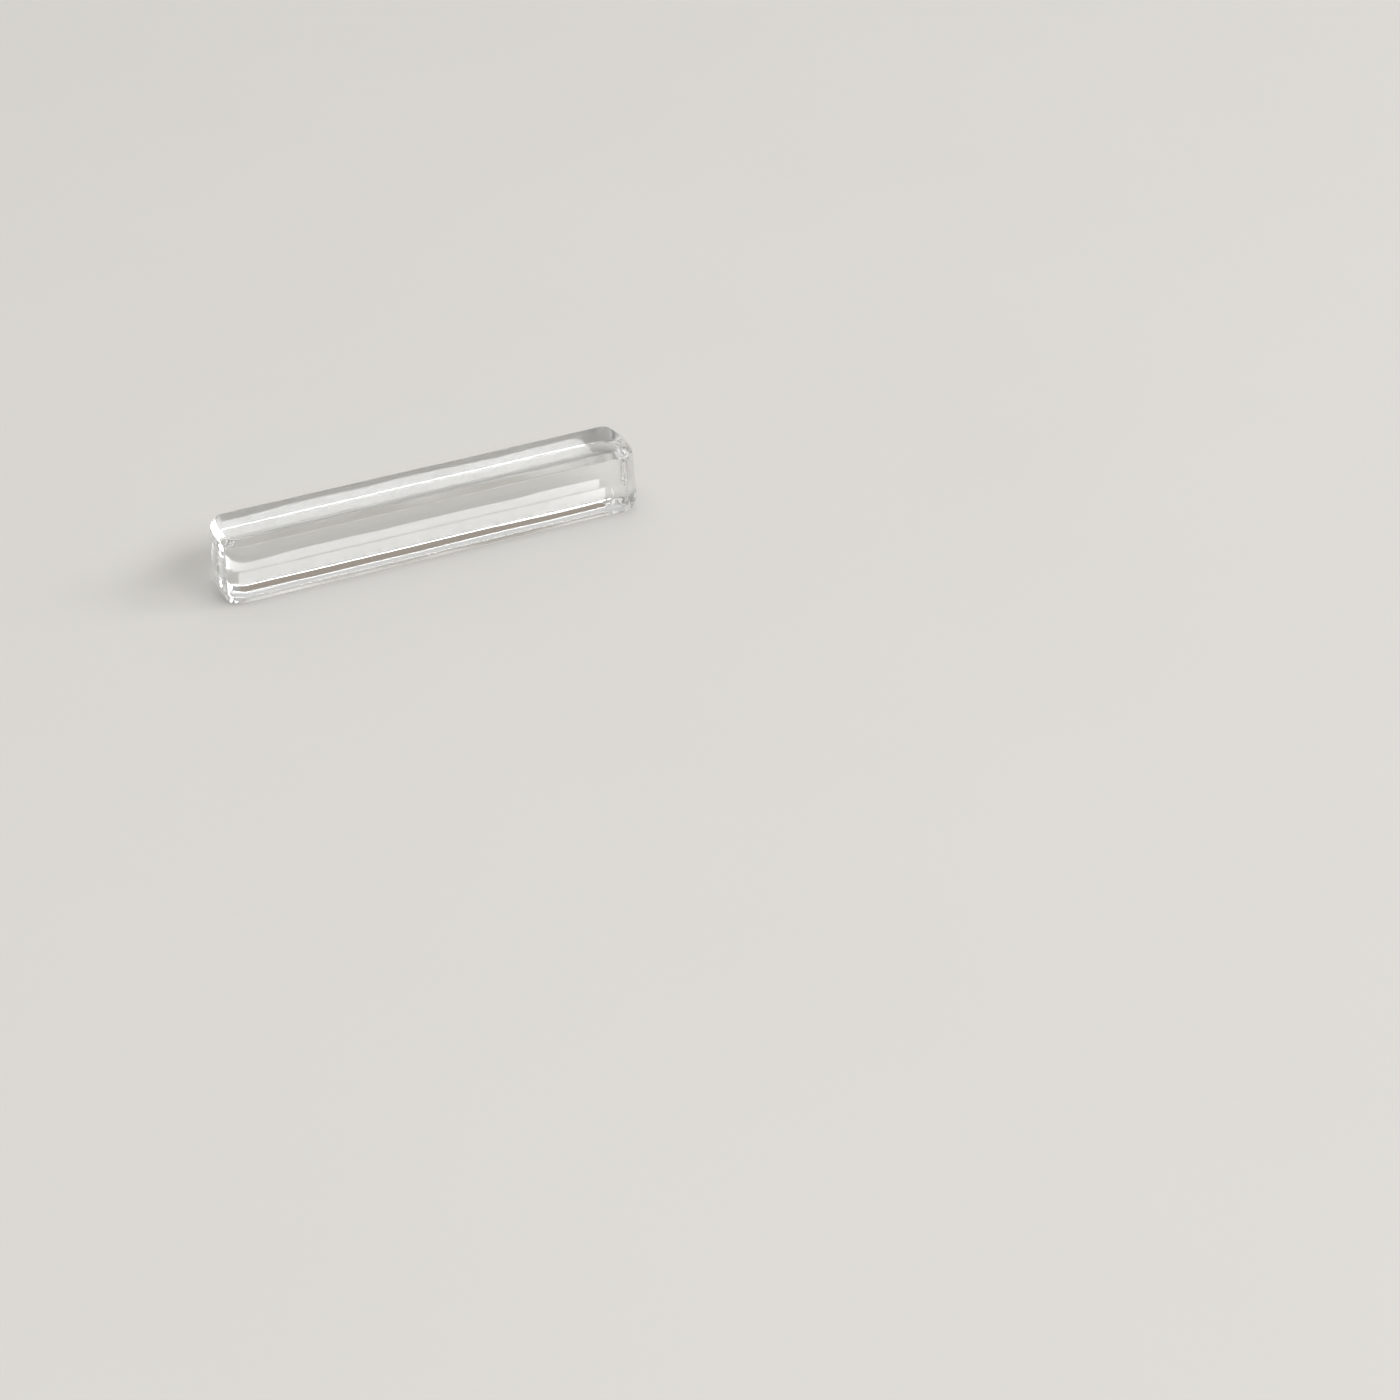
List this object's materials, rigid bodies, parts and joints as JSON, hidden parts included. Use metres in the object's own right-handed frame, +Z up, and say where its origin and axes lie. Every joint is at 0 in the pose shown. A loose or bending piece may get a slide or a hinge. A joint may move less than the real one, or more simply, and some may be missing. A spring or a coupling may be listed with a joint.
{
  "type": "knife rest",
  "caption": "Solid bar of clear glass with a near-square section, bevelled edges and gently crowned ends, which lies on the table and holds knife and fork tips clear of the cloth.",
  "frame": {"origin": "middle of the base, on the table", "axes": "+X along the bar, +Y from front to back, +Z up from the table"},
  "size_m": [0.0872, 0.0148, 0.0142],
  "materials": {
    "clear_glass": "fire-polished, clear and colourless"
  },
  "bodies": {
    "root": {"glass_bar": "clear_glass"}
  },
  "joints": []
}
